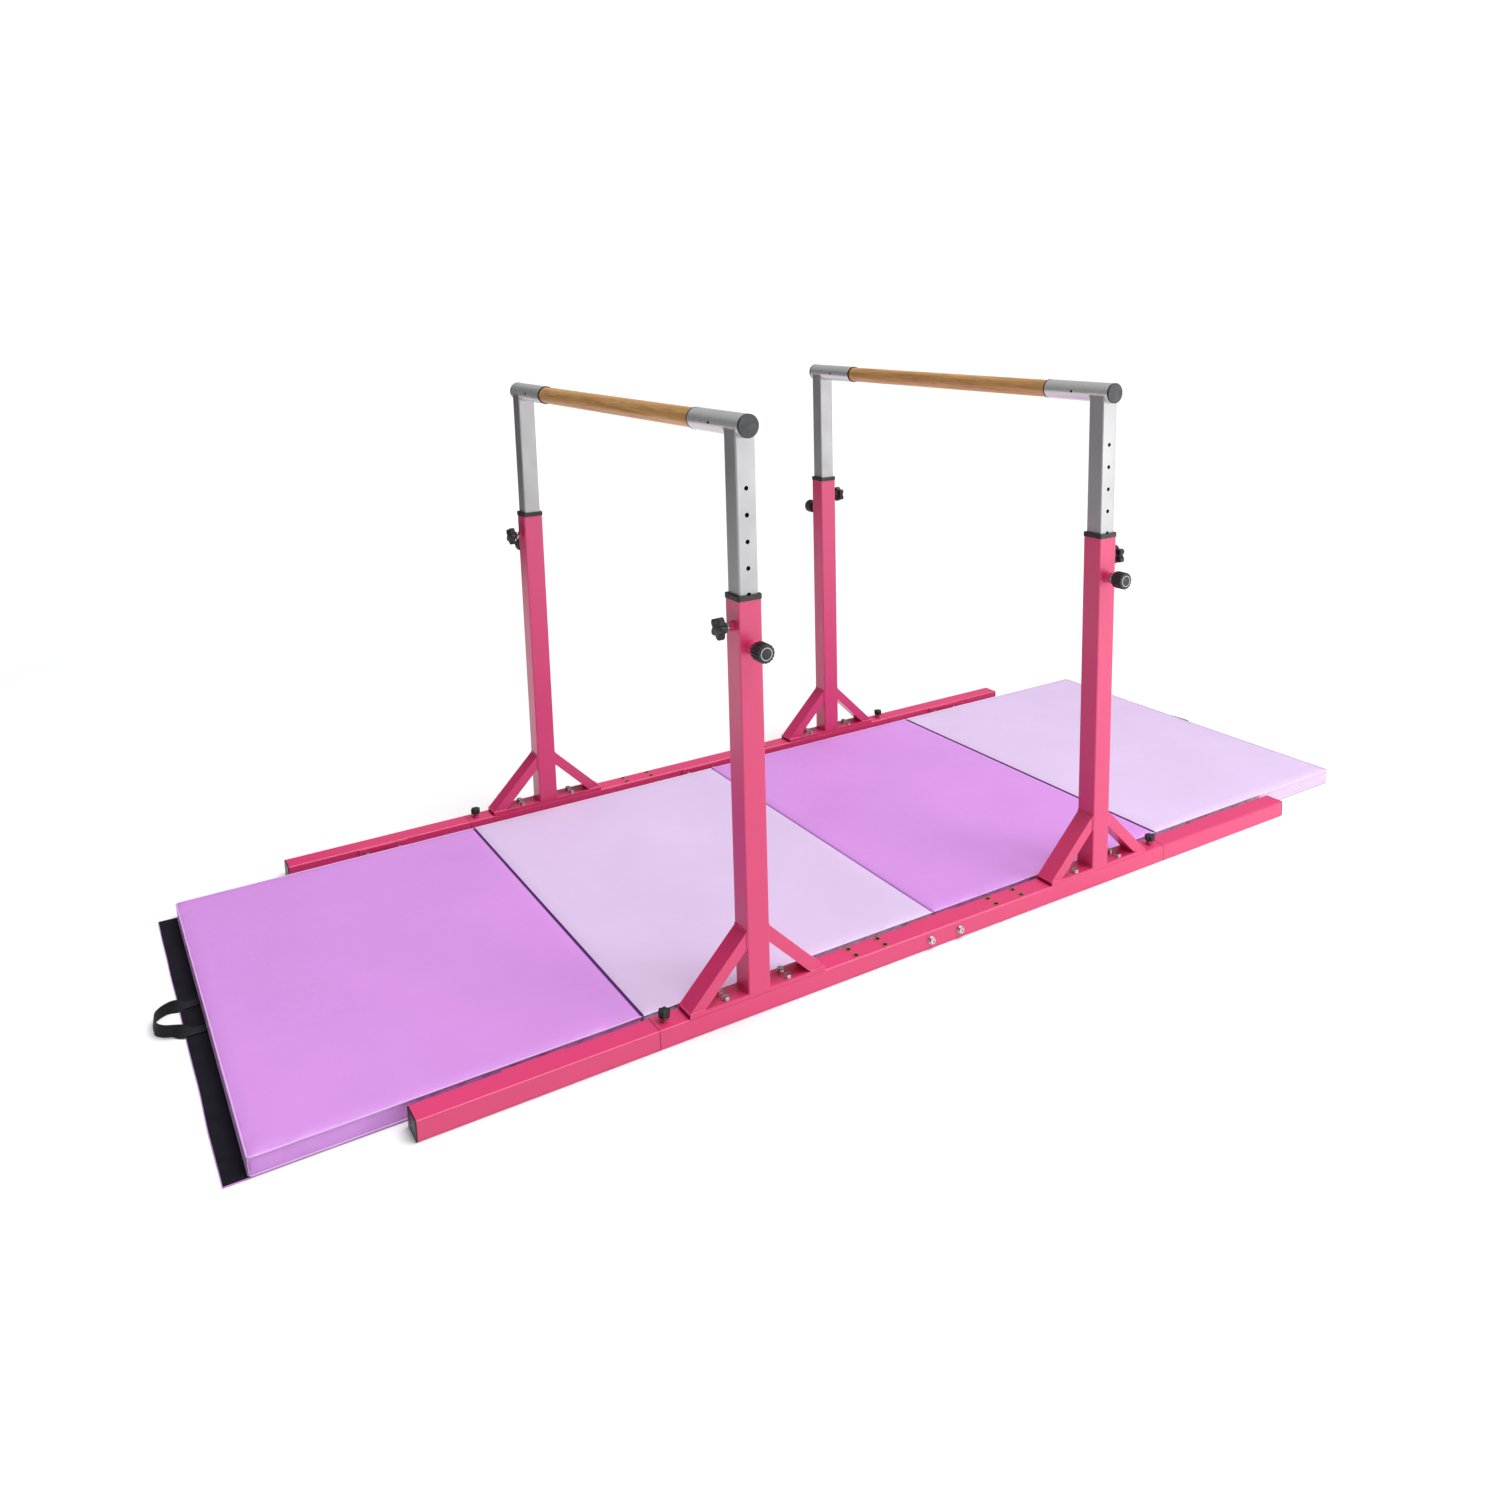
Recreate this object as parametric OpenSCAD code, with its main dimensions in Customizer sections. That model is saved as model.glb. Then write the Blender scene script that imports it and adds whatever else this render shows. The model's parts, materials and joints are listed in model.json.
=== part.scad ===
// Junior gymnastics bars: two height-adjustable wooden rails on a square-tube frame, with a folding mat.
// +X runs along the floor rails, +Y across them, +Z up. The origin is on the floor, at the centre
// of the underside of the middle cross-beam. Millimetres. "left" is -X, "near" is -Y.

/* [Floor frame] */
// Half the length of a floor rail, centre to end cap
frame_half_length = 1150; // [1120:5:1200]
// Half the length of a rail's middle section, centre to seam
seam_x = 690; // [680:1:700]
// Distance from the frame's centre line to a rail's centre line
rail_y = 550; // [545:1:600]
// Width of the rail tube
rail_w = 50; // [50:1:54]
// Height of the rail tube
rail_h = 40; // [38:1:44]
// Wall of every steel tube
wall = 2; // [1.5:0.1:2]
// Length of the extension's spigot that sits inside the middle section
spigot_length = 125; // [110:1:130]
// Distance from the centre line to an end cross-beam
end_beam_x = 920; // [900:5:940]

/* [Posts] */
// Distance from the frame's centre to a post
post_x = 470; // [460:1:480]
// Width of the square post tube
post_w = 50; // [50:1:52]
// Height of the post's top edge above the floor
post_top = 835; // [800:5:900]
// Length of a post's base plate
base_length = 310; // [310:2:320]
// Height at which the braces meet the post, above the base plate
brace_rise = 130; // [120:1:130]
// In-plane thickness of a brace
brace_t = 25; // [20:1:26]
// Distance of the clamp knob below the post's top edge
clamp_drop = 50; // [45:1:55]
// Distance of the pull pin below the post's top edge
pin_drop = 90; // [88:1:95]

/* [Bars] */
// Height of a bar's axis above the floor
bar_z = 1160; // [1150:10:1170]
// Half the length of a bar, centre to end face
bar_half_length = 585; // [580:1:590]
// Diameter of the wooden bar
wood_d = 40; // [38:0.5:40]
// Outer diameter of the end sleeves
sleeve_d = 44; // [43.5:0.5:44]
// Length of an end sleeve
sleeve_length = 190; // [170:5:200]
// Width of the square upright tube
upright_w = 42; // [40:0.5:42]
// Number of height holes in an upright
hole_count = 13; // [7:1:13]
// Spacing of the height holes
hole_pitch = 50; // [40:1:50]

/* [Mat] */
// Length of one mat panel
panel_length = 714; // [700:1:716]
// Width of the mat
mat_w = 1000; // [960:5:1000]
// Thickness of the mat
mat_t = 40; // [38:1:40]
// Position of the mat's middle seam along X
mat_x = 20; // [0:1:20]
// Position of the mat's middle across the rails
mat_y = -10; // [-10:1:0]

/* [Hidden] */

paint = "#e84882";
zinc = "#b9bcc0";
silver = "#d4d6d8";
black_plastic = "#1d1d1f";
$fn = 48;

eps = 1;
corner_r = 3;
slide_gap = 0.3;

// Fasteners, all M8
bolt_r = 3.9;
thread_r = 4;
hole_r = 4.5;
hex_flats = 13;
hex_h = 5.5;
washer_r = 8.5;
washer_t = 1.5;
insert_body_r = 5.5;
insert_flange_r = 7;
insert_flange_t = 1;
insert_length = 15;

// Base plates
base_h = 8;
base_top_t = 3;
base_leg_t = 3;
base_bolt_x = 71;
base_bolt_y = 13.5;
spare_rows = [155, 230];
brace_w = 44;

// Cross-beams
strap_w = 60;
strap_t = 5;
lug_length = 120;
lug_h = rail_h - 2;
lug_bolt_x = 40;
rail_inner_y = rail_y - rail_w / 2;

// Knobs
stud_r = 4;
stud_bore_r = 4.06;
boss_r = 10;
clamp_boss_h = 8;
clamp_knob_r = 22.5;
clamp_knob_t = 14;
clamp_gap = 16;
rail_boss_h = 5;
rail_knob_r = 12;
rail_knob_t = 14;
rail_knob_gap = 10;
rail_knob_inset = 22;

// Pull pins, measured outward from the post's face
barrel_r = 9;
barrel_length = 25;
barrel_cap_t = 4;
pin_boss_h = 12;
chamber_r = 6.6;
shoulder_start = 2;
shoulder_t = 3;
pin_knob_r = 19;
pin_knob_start = 26;
pin_knob_length = 28;
spring_mean_r = 5.3;
spring_wire_r = 0.7;
spring_turns = 5;
spring_end_gap = 0.4;

// Bars
ring_t = 3.5;
ring_r = 22.3;
cap_flange_t = 5;
cap_r = 22.5;
cap_plug = 15;
screw_inset = 110;
screw_r = 3;
first_hole_drop = 115;
upright_end_margin = 45;
upright_wall = 2;
pin_hole_r = 4.5;
glide_plug_t = 6;

// Mat
seam_gap = 2;
groove_h = 7;
groove_margin = 8;
extension_travel = 75;
flap_w = 38;
flap_t = 3;
flap_z = 1;
handle_span = 110;
handle_reach = [88, 32];
handle_r = [50, 28];
webbing_t = 2.5;
webbing_w = 25;
handle_z = flap_z + flap_t;
handle_y = 27;

base_top = rail_h + base_h;
pin_z = post_top - pin_drop;
clamp_z = post_top - clamp_drop;
spigot_w = rail_w - 2 * wall - 2 * slide_gap;
spigot_h = rail_h - 2 * wall - 2 * slide_gap;
upright_bottom = bar_z - first_hole_drop - (hole_count - 1) * hole_pitch - upright_end_margin;
sleeve_out = bar_half_length - cap_flange_t;
sleeve_in = sleeve_out - sleeve_length;

module rounded_rect(w, h, r) {
    square([w - 2 * r, h], center = true);
    square([w, h - 2 * r], center = true);
    for (x = [-1, 1], y = [-1, 1])
        translate([x * (w / 2 - r), y * (h / 2 - r)])
            circle(r = r);
}

module rounded_bar(w, h, length, r = corner_r) {
    linear_extrude(length)
        rounded_rect(w, h, r);
}

// A tube standing on the XY plane
module box_tube(w, h, length, t) {
    difference() {
        rounded_bar(w, h, length);
        translate([0, 0, -eps])
            rounded_bar(w - 2 * t, h - 2 * t, length + 2 * eps, corner_r - t / 2);
    }
}

// Turns a shape that stands along +Z to lie along +X, with its first side along Y
module along_x() {
    rotate([90, 0, 90])
        children();
}

// Turns a shape that stands along +Z to point along sy * Y
module along_y(sy) {
    rotate([-90 * sy, 0, 0])
        children();
}

module at_post(sx, sy) {
    translate([sx * post_x, sy * rail_y, 0])
        children();
}

module hex_head(flats = hex_flats, h = hex_h) {
    cylinder(d = flats / cos(30), h = h, $fn = 6);
}

// A bolt with a washer, whose head's underside is on the XY plane and whose shank points down
module bolt(shank) {
    difference() {
        cylinder(r = washer_r, h = washer_t);
        translate([0, 0, -eps])
            cylinder(r = bolt_r, h = washer_t + 2 * eps);
    }
    translate([0, 0, washer_t])
        hex_head();
    translate([0, 0, -shank])
        cylinder(r = bolt_r, h = shank + washer_t);
}

// A rivet nut pointing down, with its flange's underside on the XY plane
module rivet_nut() {
    difference() {
        union() {
            cylinder(r = insert_flange_r, h = insert_flange_t);
            translate([0, 0, -insert_length])
                cylinder(r = insert_body_r, h = insert_length + insert_flange_t / 2);
        }
        translate([0, 0, -insert_length - eps])
            cylinder(r = thread_r, h = insert_length + insert_flange_t + 2 * eps);
    }
}

// Every rivet nut's place on top of one rail's middle section
module each_rail_insert() {
    for (sx = [-1, 1], sy = [-1, 1]) {
        for (x = spare_rows)
            translate([sx * x, sy * base_bolt_y, rail_h])
                children();
        for (side = [-1, 1])
            translate([sx * post_x + side * base_bolt_x, sy * base_bolt_y, rail_h])
                children();
    }
}

module each_lug_bolt(beam_x, sy) {
    for (side = [-1, 1])
        translate([beam_x + side * lug_bolt_x, sy * rail_inner_y, rail_h / 2])
            along_y(sy)
                children();
}

// --- Floor frame ---

module main_rail(sy) {
    color(paint)
        difference() {
            translate([-seam_x, sy * rail_y, rail_h / 2])
                along_x()
                    box_tube(rail_w, rail_h, 2 * seam_x, wall);
            translate([0, sy * rail_y, 0]) {
                each_rail_insert()
                    translate([0, 0, -insert_length])
                        cylinder(r = insert_body_r, h = 2 * insert_length);
                for (sx = [-1, 1])
                    translate([sx * (seam_x - rail_knob_inset), 0, rail_h / 2])
                        cylinder(r = hole_r, h = rail_h);
            }
            each_lug_bolt(0, sy)
                translate([0, 0, -eps])
                    cylinder(r = hole_r, h = rail_w + 2 * eps);
        }
}

module cross_beam(x) {
    color(paint)
        difference() {
            union() {
                translate([x - strap_w / 2, -rail_inner_y, 0])
                    cube([strap_w, 2 * rail_inner_y, strap_t]);
                for (sy = [-1, 1])
                    translate([x - lug_length / 2, sy * (rail_inner_y - strap_t / 2) - strap_t / 2, 0])
                        cube([lug_length, strap_t, lug_h]);
            }
            for (sy = [-1, 1])
                each_lug_bolt(x, sy)
                    translate([0, 0, -2 * strap_t])
                        cylinder(r = hole_r, h = 3 * strap_t);
        }
}

// The bolts of the post bases, and the through bolts and nuts of the middle cross-beam
module frame_bolts() {
    color(zinc) {
        for (sx = [-1, 1], sy = [-1, 1], x = [-1, 1], y = [-1, 1])
            at_post(sx, sy)
                translate([x * base_bolt_x, y * base_bolt_y, base_top])
                    bolt(base_top - rail_h + insert_length);
        for (sy = [-1, 1])
            each_lug_bolt(0, sy) {
                translate([0, 0, -strap_t])
                    rotate([180, 0, 0])
                        bolt(strap_t + rail_w + hex_h);
                translate([0, 0, rail_w])
                    difference() {
                        union() {
                            cylinder(r = washer_r, h = washer_t);
                            translate([0, 0, washer_t])
                                hex_head();
                        }
                        translate([0, 0, -eps])
                            cylinder(r = bolt_r, h = hex_h + washer_t + 2 * eps);
                    }
            }
    }
}

module rail_rivet_nuts() {
    color("#c9a94c")
        for (sy = [-1, 1])
            translate([0, sy * rail_y, 0])
                each_rail_insert()
                    rivet_nut();
}

module extension(sx, sy) {
    color(paint)
        difference() {
            translate([sx * seam_x, sy * rail_y, rail_h / 2])
                rotate([0, 0, sx > 0 ? 0 : 180])
                    along_x() {
                        box_tube(rail_w, rail_h, frame_half_length - cap_flange_t / 2 - seam_x, wall);
                        translate([0, 0, -spigot_length])
                            box_tube(spigot_w, spigot_h, spigot_length + lug_bolt_x, wall);
                    }
            each_lug_bolt(sx * end_beam_x, sy)
                translate([0, 0, -eps])
                    cylinder(r = insert_body_r, h = wall + 2 * eps);
        }
}

// Short bolts and the rivet nuts that they screw into, in the extensions' inner walls
module end_bolts(sx) {
    color(zinc)
        for (sy = [-1, 1])
            each_lug_bolt(sx * end_beam_x, sy) {
                translate([0, 0, -strap_t])
                    rotate([180, 0, 0])
                        bolt(strap_t + insert_length - eps);
                difference() {
                    cylinder(r = insert_body_r, h = insert_length);
                    translate([0, 0, -eps])
                        cylinder(r = bolt_r, h = insert_length + 2 * eps);
                }
            }
}

module rail_caps(sx) {
    cap_t = cap_flange_t / 2;
    color(black_plastic)
        for (sy = [-1, 1])
            translate([sx * (frame_half_length - cap_t), sy * rail_y, rail_h / 2])
                rotate([0, 0, sx > 0 ? 0 : 180])
                    along_x() {
                        rounded_bar(rail_w, rail_h, cap_t);
                        translate([0, 0, -cap_plug])
                            rounded_bar(rail_w - 2 * wall - slide_gap, rail_h - 2 * wall - slide_gap,
                                        cap_plug, corner_r - wall / 2);
                    }
}

// --- Posts ---

module post_tube(sx, sy) {
    color(paint)
        at_post(sx, sy)
            difference() {
                translate([0, 0, base_top])
                    box_tube(post_w, post_w, post_top - base_top, wall);
                translate([0, 0, pin_z])
                    along_y(sy)
                        cylinder(r = hole_r, h = post_w);
                translate([0, 0, clamp_z])
                    rotate([0, 90 * sx, 0])
                        cylinder(r = hole_r, h = post_w);
            }
}

// One 45 degree brace's outline in the XZ plane, from the post's face down to the base plate
module brace_outline() {
    half = post_w / 2;
    lean = brace_t * sqrt(2);
    polygon([[half, brace_rise], [half + brace_rise, 0], [half + brace_rise - lean, 0],
             [half, brace_rise - lean]]);
}

// Channel-shaped base plate and the two braces that are welded to it
module post_base(sx, sy) {
    color(paint)
        at_post(sx, sy) {
            difference() {
                translate([-base_length / 2, -rail_w / 2, rail_h])
                    cube([base_length, rail_w, base_h]);
                translate([-base_length / 2 - eps, base_leg_t - rail_w / 2, rail_h - eps])
                    cube([base_length + 2 * eps, rail_w - 2 * base_leg_t, base_h - base_top_t + eps]);
                for (x = [-1, 1], y = [-1, 1])
                    translate([x * base_bolt_x, y * base_bolt_y, rail_h])
                        cylinder(r = hole_r, h = base_h + eps);
            }
            for (side = [0, 180])
                rotate([0, 0, side])
                    translate([0, brace_w / 2, base_top])
                        rotate([90, 0, 0])
                            linear_extrude(brace_w)
                                brace_outline();
        }
}

module post_collars() {
    lip = 1.5;
    lip_h = 10;
    sleeve_depth = 22;
    opening = upright_w + 2 * slide_gap;
    color(black_plastic)
        for (sx = [-1, 1], sy = [-1, 1])
            at_post(sx, sy)
                translate([0, 0, post_top])
                    difference() {
                        union() {
                            rounded_bar(post_w + 2 * lip, post_w + 2 * lip, lip_h, corner_r + lip);
                            translate([0, 0, -sleeve_depth])
                                rounded_bar(post_w - 2 * wall - 0.1, post_w - 2 * wall - 0.1,
                                            sleeve_depth + eps, corner_r - wall / 2);
                        }
                        translate([0, 0, -sleeve_depth - eps])
                            rounded_bar(opening, opening, sleeve_depth + lip_h + 2 * eps);
                    }
}

module boss(r, h) {
    difference() {
        cylinder(r = r, h = h);
        translate([0, 0, -eps])
            cylinder(r = stud_bore_r, h = h + 2 * eps);
    }
}

// Welded bosses that carry the clamp knobs, the pull pins' barrels and the rail knobs
module knob_bosses() {
    color(paint)
        for (sx = [-1, 1], sy = [-1, 1]) {
            at_post(sx, sy) {
                translate([sx * post_w / 2, 0, clamp_z])
                    rotate([0, 90 * sx, 0])
                        boss(boss_r, clamp_boss_h);
                translate([0, sy * post_w / 2, pin_z])
                    along_y(sy)
                        difference() {
                            cylinder(r = boss_r + 3, h = pin_boss_h);
                            translate([0, 0, -eps])
                                cylinder(r = barrel_r + 0.1, h = pin_boss_h + 2 * eps);
                        }
            }
            translate([sx * (seam_x - rail_knob_inset), sy * rail_y, rail_h])
                boss(boss_r - 2, rail_boss_h);
        }
}

module pin_barrels() {
    color(zinc)
        for (sx = [-1, 1], sy = [-1, 1])
            at_post(sx, sy)
                translate([0, sy * post_w / 2, pin_z])
                    along_y(sy)
                        difference() {
                            cylinder(r = barrel_r, h = barrel_length);
                            translate([0, 0, -eps])
                                cylinder(r = chamber_r, h = barrel_length - barrel_cap_t + eps);
                            cylinder(r = stud_bore_r, h = barrel_length + eps);
                        }
}

// The centre line of a coil spring at parameter t from 0 to 1
function coil_point(t, length) =
    [spring_mean_r * cos(360 * spring_turns * t), spring_mean_r * sin(360 * spring_turns * t), length * t];

module coil_spring(length) {
    steps = spring_turns * 8;
    sides = 5;
    rings = [for (i = [0 : steps])
        let (t = i / steps, a = 360 * spring_turns * t, p = coil_point(t, length))
        [for (k = [0 : sides - 1])
            let (b = 360 * k / sides, r = spring_wire_r * cos(b))
            [p[0] + r * cos(a), p[1] + r * sin(a), p[2] + spring_wire_r * sin(b)]]];
    points = [for (ring = rings) each ring];
    walls = [for (i = [0 : steps - 1], k = [0 : sides - 1])
        let (a = i * sides + k, b = i * sides + (k + 1) % sides)
        [a, a + sides, b + sides, b]];
    start = [for (k = [0 : sides - 1]) k];
    end = [for (k = [sides - 1 : -1 : 0]) steps * sides + k];
    polyhedron(points, concat(walls, [start], [end]));
}

module pin_springs() {
    spring_start = shoulder_start + shoulder_t + spring_end_gap + spring_wire_r;
    spring_end = barrel_length - barrel_cap_t - spring_end_gap - spring_wire_r;
    color(zinc)
        for (sx = [-1, 1], sy = [-1, 1])
            at_post(sx, sy)
                translate([0, sy * post_w / 2, pin_z])
                    along_y(sy)
                        translate([0, 0, spring_start])
                            coil_spring(spring_end - spring_start);
}

// --- Bars ---

module upright(sx, sy) {
    cope = sqrt(pow(sleeve_d / 2, 2) - pow(upright_w / 2, 2));
    color(silver)
        difference() {
            translate([sx * post_x, sy * rail_y, upright_bottom])
                box_tube(upright_w, upright_w, bar_z - cope - upright_bottom, upright_wall);
            translate([sx * post_x, 0, bar_z])
                along_y(sy)
                    cylinder(d = sleeve_d, h = 2 * rail_y);
            for (i = [0 : hole_count - 1])
                translate([sx * post_x, sy * rail_y, bar_z - first_hole_drop - i * hole_pitch])
                    along_y(sy)
                        cylinder(r = pin_hole_r, h = upright_w);
        }
}

module on_bar_end(sx, sy, y) {
    translate([sx * post_x, sy * y, bar_z])
        along_y(sy)
            children();
}

module bar_sleeves(sx) {
    color(silver)
        for (sy = [-1, 1])
            difference() {
                on_bar_end(sx, sy, sleeve_in)
                    difference() {
                        cylinder(d = sleeve_d, h = sleeve_length);
                        translate([0, 0, -eps])
                            cylinder(d = wood_d, h = sleeve_length + 2 * eps);
                    }
                translate([sx * post_x, sy * (bar_half_length - screw_inset), bar_z])
                    rotate([0, -90, 0])
                        cylinder(r = screw_r, h = sleeve_d);
            }
}

module wooden_bar(sx) {
    half = sleeve_out - cap_plug;
    color("#b98a60")
        translate([sx * post_x, -half, bar_z])
            along_y(1)
                cylinder(d = wood_d, h = 2 * half);
}

module bar_caps(sx) {
    color("#3a3b3d")
        for (sy = [-1, 1])
            on_bar_end(sx, sy, sleeve_out) {
                cylinder(r = cap_r, h = cap_flange_t);
                translate([0, 0, -cap_plug])
                    cylinder(d = wood_d - 0.2, h = cap_plug + eps);
            }
}

// Black end rings and grub screws
module bar_fittings(sx) {
    color(black_plastic)
        for (sy = [-1, 1]) {
            on_bar_end(sx, sy, sleeve_in - ring_t)
                difference() {
                    cylinder(r = ring_r, h = ring_t);
                    translate([0, 0, -eps])
                        cylinder(d = wood_d, h = ring_t + 2 * eps);
                }
            translate([sx * post_x, sy * (bar_half_length - screw_inset), bar_z])
                rotate([0, -90, 0])
                    translate([0, 0, wood_d / 2])
                        difference() {
                            cylinder(r = screw_r, h = 3);
                            translate([0, 0, 1])
                                hex_head(flats = 2.5, h = 3);
                        }
        }
}

// Plugs in the uprights' feet, which guide them inside the posts
module glide_plugs(sx) {
    plug_w = post_w - 2 * wall - 2 * slide_gap;
    stem_w = upright_w - 2 * upright_wall - 0.2;
    color(black_plastic)
        for (sy = [-1, 1])
            translate([sx * post_x, sy * rail_y, upright_bottom - glide_plug_t]) {
                rounded_bar(plug_w, plug_w, glide_plug_t, corner_r - wall / 2);
                rounded_bar(stem_w, stem_w, glide_plug_t + cap_plug, corner_r - upright_wall / 2);
            }
}

// --- Knobs ---

// A lobed knob standing on the XY plane, with a narrower hub below it
module star_knob(r, t, lobes, hub_r, hub_h) {
    lobe_r = r * 0.3;
    cylinder(r = r - 1.2 * lobe_r, h = t);
    for (i = [0 : lobes - 1])
        rotate([0, 0, i * 360 / lobes])
            translate([r - lobe_r, 0, 0])
                cylinder(r = lobe_r, h = t);
    translate([0, 0, -hub_h])
        cylinder(r = hub_r, h = hub_h + eps);
}

module clamp_knob(sx, sy) {
    tip = upright_w / 2 + slide_gap;
    hub_h = 6;
    knob_start = post_w / 2 + clamp_gap + hub_h;
    color(black_plastic)
        at_post(sx, sy)
            translate([0, 0, clamp_z])
                rotate([0, 90 * sx, 0]) {
                    translate([0, 0, tip])
                        cylinder(r = stud_r, h = knob_start - tip);
                    translate([0, 0, knob_start])
                        star_knob(clamp_knob_r, clamp_knob_t, 5, clamp_knob_r * 0.5, hub_h);
                }
}

module rail_knob(sx, sy) {
    tip = rail_h / 2 + spigot_h / 2 + slide_gap;
    color(black_plastic)
        translate([sx * (seam_x - rail_knob_inset), sy * rail_y, 0]) {
            translate([0, 0, tip])
                cylinder(r = stud_r, h = rail_h + rail_knob_gap - tip);
            translate([0, 0, rail_h + rail_knob_gap])
                star_knob(rail_knob_r, rail_knob_t, 6, stud_r + 1.5, 1);
        }
}

// Locking pin with its shoulder, and the fluted knob pressed on its outer end
module pull_pin(sx, sy) {
    flutes = 16;
    flute_r = 1.6;
    nose = upright_w / 2 + slide_gap - post_w / 2;
    color(black_plastic)
        at_post(sx, sy)
            translate([0, sy * post_w / 2, pin_z])
                along_y(sy) {
                    translate([0, 0, nose])
                        cylinder(r = stud_r, h = pin_knob_start - nose + eps);
                    translate([0, 0, shoulder_start])
                        cylinder(r = chamber_r - 0.4, h = shoulder_t);
                    translate([0, 0, pin_knob_start])
                        difference() {
                            cylinder(r = pin_knob_r, h = pin_knob_length);
                            for (i = [0 : flutes - 1])
                                rotate([0, 0, i * 360 / flutes])
                                    translate([pin_knob_r + flute_r * 0.4, 0, -eps])
                                        cylinder(r = flute_r, h = pin_knob_length + 2 * eps);
                        }
                }
}

// --- Mat ---

// Panels 1 to 4 run from left to right. Shallow reliefs underneath clear the cross-beams.
module mat_panel(i) {
    x0 = mat_x + (i - 3) * panel_length + seam_gap / 2;
    x1 = x0 + panel_length - seam_gap;
    reach = strap_w / 2 + groove_margin;
    inner = end_beam_x - reach;
    outer = end_beam_x + reach + extension_travel;
    color(i % 2 == 1 ? "#dda0ec" : "#e8d2f4")
        difference() {
            translate([x0, mat_y - mat_w / 2, 0])
                cube([x1 - x0, mat_w, mat_t]);
            for (span = [[-outer, -inner], [-reach, reach], [inner, outer]])
                translate([span[0], mat_y - mat_w / 2 - eps, -eps])
                    cube([span[1] - span[0], mat_w + 2 * eps, groove_h + eps]);
        }
}

module at_mat_end(sx) {
    translate([mat_x + sx * (2 * panel_length - seam_gap / 2), 0, 0])
        mirror([sx > 0 ? 0 : 1, 0, 0])
            children();
}

// Hook-and-loop flap along the left end
module mat_flap() {
    color(black_plastic)
        at_mat_end(-1)
            translate([0, mat_y - mat_w / 2, flap_z])
                cube([flap_w, mat_w, flap_t]);
}

// Loop of webbing that stands on edge; the left one reaches out over the flap
module mat_handle(sx) {
    reach = sx < 0 ? handle_reach[0] : handle_reach[1];
    r = sx < 0 ? handle_r[0] : handle_r[1];
    color(black_plastic)
        at_mat_end(sx)
            translate([0, handle_y, handle_z])
                linear_extrude(webbing_w)
                    intersection() {
                        difference() {
                            rounded_rect(2 * reach, handle_span, r);
                            rounded_rect(2 * (reach - webbing_t), handle_span - 2 * webbing_t, r - webbing_t);
                        }
                        translate([0, -handle_span])
                            square(2 * handle_span);
                    }
}

main_rail(-1);  // main_rail_near
main_rail(1);  // main_rail_far
cross_beam(0);  // center_cross_beam
frame_bolts();
rail_rivet_nuts();
post_tube(-1, -1);  // post_tube_left_near
post_tube(-1, 1);  // post_tube_left_far
post_tube(1, -1);  // post_tube_right_near
post_tube(1, 1);  // post_tube_right_far
post_base(-1, -1);  // post_base_left_near
post_base(-1, 1);  // post_base_left_far
post_base(1, -1);  // post_base_right_near
post_base(1, 1);  // post_base_right_far
post_collars();
knob_bosses();
pin_barrels();
pin_springs();
extension(-1, -1);  // extension_left_near
extension(-1, 1);  // extension_left_far
cross_beam(-end_beam_x);  // end_cross_beam_left
end_bolts(-1);  // end_bolts_left
rail_caps(-1);  // rail_caps_left
extension(1, -1);  // extension_right_near
extension(1, 1);  // extension_right_far
cross_beam(end_beam_x);  // end_cross_beam_right
end_bolts(1);  // end_bolts_right
rail_caps(1);  // rail_caps_right
upright(-1, -1);  // upright_left_near
upright(-1, 1);  // upright_left_far
bar_sleeves(-1);  // bar_sleeves_left
wooden_bar(-1);  // wooden_bar_left
bar_caps(-1);  // bar_caps_left
bar_fittings(-1);  // bar_fittings_left
glide_plugs(-1);  // glide_plugs_left
upright(1, -1);  // upright_right_near
upright(1, 1);  // upright_right_far
bar_sleeves(1);  // bar_sleeves_right
wooden_bar(1);  // wooden_bar_right
bar_caps(1);  // bar_caps_right
bar_fittings(1);  // bar_fittings_right
glide_plugs(1);  // glide_plugs_right
pull_pin(-1, -1);  // pull_pin_left_near
pull_pin(-1, 1);  // pull_pin_left_far
pull_pin(1, -1);  // pull_pin_right_near
pull_pin(1, 1);  // pull_pin_right_far
clamp_knob(-1, -1);  // clamp_knob_left_near
clamp_knob(-1, 1);  // clamp_knob_left_far
clamp_knob(1, -1);  // clamp_knob_right_near
clamp_knob(1, 1);  // clamp_knob_right_far
rail_knob(-1, -1);  // rail_knob_left_near
rail_knob(-1, 1);  // rail_knob_left_far
rail_knob(1, -1);  // rail_knob_right_near
rail_knob(1, 1);  // rail_knob_right_far
mat_panel(1);  // mat_panel_1
mat_panel(2);  // mat_panel_2
mat_panel(3);  // mat_panel_3
mat_panel(4);  // mat_panel_4
mat_flap();
mat_handle(-1);  // mat_handle_left
mat_handle(1);  // mat_handle_right
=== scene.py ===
"""Junior gymnastics bars with a folding mat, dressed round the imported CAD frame.

Lengths are in metres, in the frame's axes.
"""

import json
import math

import bmesh
import bpy
from mathutils import Matrix, Vector, noise


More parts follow.
